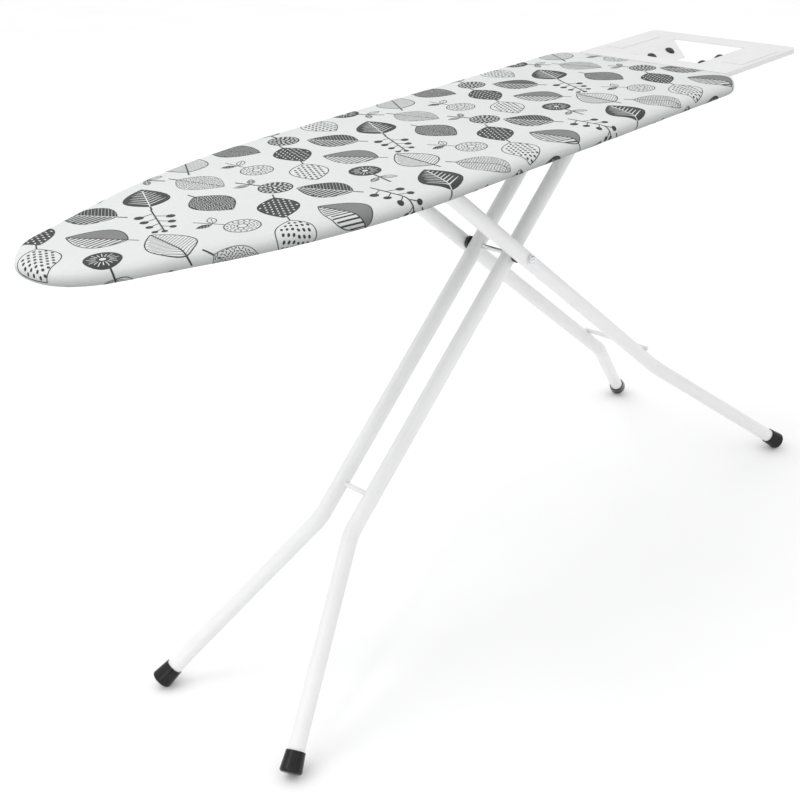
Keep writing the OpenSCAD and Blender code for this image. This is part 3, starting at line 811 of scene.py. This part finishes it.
def tile():
    """One repeat: every third place of a row has a flower or twig, the others have leaves."""
    leaf_no = flower_no = 0
    for row in range(ROWS):
        for col in range(COLUMNS):
            centre = np.array([(col + 0.5 * (row % 2) + 0.25) * CELL_S,
                               (row - (ROWS - 1) / 2) * CELL_T])
            turn = 0.55 * math.sin(2.1 * row + 3.7 * col) + (math.pi if (row + col) % 2 else 0)
            ax = np.array([math.sin(turn), math.cos(turn)])
            if (col + 2 * row) % 3 == 1:
                draw = FLOWERS[flower_no % len(FLOWERS)]
                draw(centre - ax * (43 if draw is berry_twig else 21), ax)
                flower_no += 1
            else:
                draw, dark = LEAVES[leaf_no % len(LEAVES)]
                draw(centre - ax * 35, centre + ax * 43, centre - ax * 49, dark)
                leaf_no += 1


# One repeat is drawn and then copied along the board; margin is how far past the outline
# the cloth could reach
tile()
margin = 60
one_v = np.vstack(ink.v)
one_l = np.concatenate(ink.l)
one_f, one_m = np.array([f + (f[-1],) * (4 - len(f)) for f in ink.f]), np.array(ink.m)
verts, layers, quads, mats = [], [], [], []
for k in range(-2, 4):
    moved = one_v + np.array([k * REPEAT, 0])
    near_board = ((moved[:, 0] > NOSE_X - margin) & (moved[:, 0] < END_X + margin)
                  & (np.abs(moved[:, 1]) < HALF + margin))
    keep_f = near_board[one_f].all(1)
    used = np.unique(one_f[keep_f])
    if not len(used):
        continue
    remap = np.full(len(one_v), -1)
    remap[used] = np.arange(len(used)) + sum(len(a) for a in verts)
    verts.append(moved[used])
    layers.append(one_l[used])
    quads.append(remap[one_f[keep_f]])
    mats.append(one_m[keep_f])
verts, layers = np.vstack(verts), np.concatenate(layers)
quads, mats = np.vstack(quads), np.concatenate(mats)


def refine(verts, layers, quads, mats, limit):
    """Split every patch near the edge whose sides are longer than limit into four."""
    c = verts[quads]
    mid = c.mean(1)
    size = np.hypot(*(c - np.roll(c, -1, axis=1)).transpose(2, 0, 1)).max(1)
    near = (size > limit) & (nearest(mid[:, 0], mid[:, 1])[0] < ROLL_START + size)
    q, m = quads[near], mats[near]
    p, l = verts[q], layers[q][:, 0]
    e = (p + np.roll(p, -1, axis=1)) / 2
    tri = q[:, 2] == q[:, 3]
    o = np.where(tri[:, None], 0, p.mean(1))
    n1 = len(q)
    out = [verts]
    new_q = []
    k = len(verts)
    for corner in range(4):
        a, b, z = p[:, corner], e[:, corner], e[:, (corner + 3) % 4]
        if corner < 3:
            z3 = np.where(tri[:, None], (p[:, corner] + p[:, (corner + 2) % 3]) / 2, z)
            b3 = np.where(tri[:, None], (p[:, corner] + p[:, (corner + 1) % 3]) / 2, b)
            c3 = np.where(tri[:, None], z3, o)
            block = [a, b3, c3, z3]
        else:
            e0, e1, e2 = [(p[:, i] + p[:, (i + 1) % 3]) / 2 for i in range(3)]
            block = [np.where(tri[:, None], e0, a), np.where(tri[:, None], e1, b),
                     np.where(tri[:, None], e2, o), np.where(tri[:, None], e2, z)]
        out += block
        new_q.append(np.stack([k + np.arange(n1) + i * n1 for i in range(4)], 1))
        k += 4 * n1
    new_q = np.vstack(new_q)
    # a triangle's quarter keeps its last corner twice
    t4 = np.tile(tri, 4)
    new_q[t4, 3] = new_q[t4, 2]
    return (np.vstack(out), np.r_[layers, np.tile(l, 16)], np.vstack([quads[~near], new_q]),
            np.r_[mats[~near], np.tile(m, 4)])


INK_LIFT, LAYER_LIFT = 0.10, 0.06  # height of the print over the cloth, and of each layer
for limit in (7.0, 4.5, 2.6):
    verts, layers, quads, mats = refine(verts, layers, quads, mats, limit)
pos, dist = wrap(verts[:, 0], verts[:, 1], INK_LIFT + LAYER_LIFT * layers)
inside = dist > -CLOTH_OVER + 4
keep = inside[quads].all(1)
quads, mats = quads[keep], mats[keep]
used = np.unique(quads)
remap = np.full(len(pos), -1)
remap[used] = np.arange(len(used))
quads = remap[quads]
pos = pos[used]
poly = [tuple(q[:3]) if q[2] == q[3] else tuple(q) for q in quads.tolist()]
printed = mesh_object("cover_print", pos, poly, [INK, INK_MID, INK_PALE, CLOTH],
                      True, mats.tolist())
# every patch is turned to face away from the board
bm = bmesh.new()
bm.from_mesh(printed.data)
flip = []
side_top, side_low = (TOP - 1.0) * MM, (TOP - 22.0) * MM
END_REACH = 0.42  # metres from the board's middle beyond which a side patch may face along X
for f in bm.faces:
    c = f.calc_center_median()
    if c.z > side_top:
        away = Vector((0, 0, 1))
    elif c.z > side_low:
        from_mid = c.x + OFFSET * MM
        away = Vector((from_mid if abs(from_mid) > END_REACH else 0, c.y, 0))
    else:
        away = Vector((0, 0, -1))
    if f.normal.dot(away) < 0:
        flip.append(f)
bmesh.ops.reverse_faces(bm, faces=flip)
bm.to_mesh(printed.data)
bm.free()
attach(printed, "board")

# ---------------------------------------------------------------- felt pad under the cover
PAD_POINTS = 420
PAD_INSET, PAD_RIM_INSET = 12.0, 10.6
PAD_TOP, PAD_RIM, PAD_UNDER = TOP - 2.0, TOP - 6.0, TOP - 7.6
pad_v, pad_f = flat_disc(PAD_INSET, PAD_POINTS, 16.0)
n0 = len(pad_v)
inset = nearest(pad_v[:, 0], pad_v[:, 1])[0]
pad_top = PAD_TOP - 2.6 * np.exp(-((inset - 10.0) / 5.0) ** 2)  # rounded down at the edge
rim = outline_rows([PAD_RIM_INSET], PAD_POINTS)[0]
pv = np.vstack([np.c_[pad_v, pad_top], np.c_[rim, np.full(PAD_POINTS, PAD_RIM)],
                np.c_[pad_v, np.full(n0, PAD_UNDER)]])
under = n0 + PAD_POINTS
pf = [tuple(f) for f in pad_f] + [tuple(reversed([i + under for i in f])) for f in pad_f]
for i in range(PAD_POINTS):
    j = (i + 1) % PAD_POINTS
    pf.append((j, i, n0 + i, n0 + j))
    pf.append((n0 + j, n0 + i, under + i, under + j))
pv[:, 0] -= OFFSET
felt = mesh_object("pad_felt", pv * MM, pf, [FELT])
bm = bmesh.new()
bm.from_mesh(felt.data)
bmesh.ops.recalc_face_normals(bm, faces=bm.faces)
bm.to_mesh(felt.data)
bm.free()
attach(felt, "board")
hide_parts("pad")

# ---------------------------------------------------------------- studio
scene = bpy.context.scene
scene.view_settings.view_transform = "Standard"
scene.view_settings.look = "None"
floor_m, t, b = new_material("studio_floor")
soft = noise(t, coords(t), 3.0, 2.0)
t.links.new(ramp(t, soft, [(0.3, (0.93,)), (0.7, (0.95,))]), b.inputs["Base Color"])
b.inputs["Roughness"].default_value = 0.9
b.inputs["Specular IOR Level"].default_value = 0.1
far = 60
floor = mesh_object("floor", [(-far, -far, 0), (far, -far, 0), (far, far, 0), (-far, far, 0)],
                    [(0, 1, 2, 3)], [floor_m], False)
world = bpy.data.worlds.new("studio")
scene.world = world
world.use_nodes = True
wt = world.node_tree
place = wt.nodes.new("ShaderNodeTexCoord")
split = node(wt, "SeparateXYZ")
wt.links.new(place.outputs["Generated"], split.inputs[0])
# white at the horizon, so that it meets the floor; greyer above it and white overhead
sky = ramp(wt, split.outputs[2], [(0.02, (1.0,)), (0.10, (0.62,)), (0.65, (1.0,))])
wt.links.new(sky, wt.nodes["Background"].inputs[0])
wt.nodes["Background"].inputs[1].default_value = 1.12


def area(name, place, target, size, power):
    d = bpy.data.lights.new(name, "AREA")
    d.shape = "RECTANGLE"
    d.size, d.size_y = size
    d.energy = power
    o = bpy.data.objects.new(name, d)
    scene.collection.objects.link(o)
    o.location = place
    o.rotation_mode = "QUATERNION"
    o.rotation_quaternion = (Vector(target) - Vector(place)).to_track_quat("-Z", "Y")


area("key", (-1.4, 1.0, 3.2), (0, 0, 0.5), (2.4, 2.4), 26)
area("strip", (-2.3, -0.7, 1.1), (-0.3, 0, 0.4), (0.12, 1.7), 4)
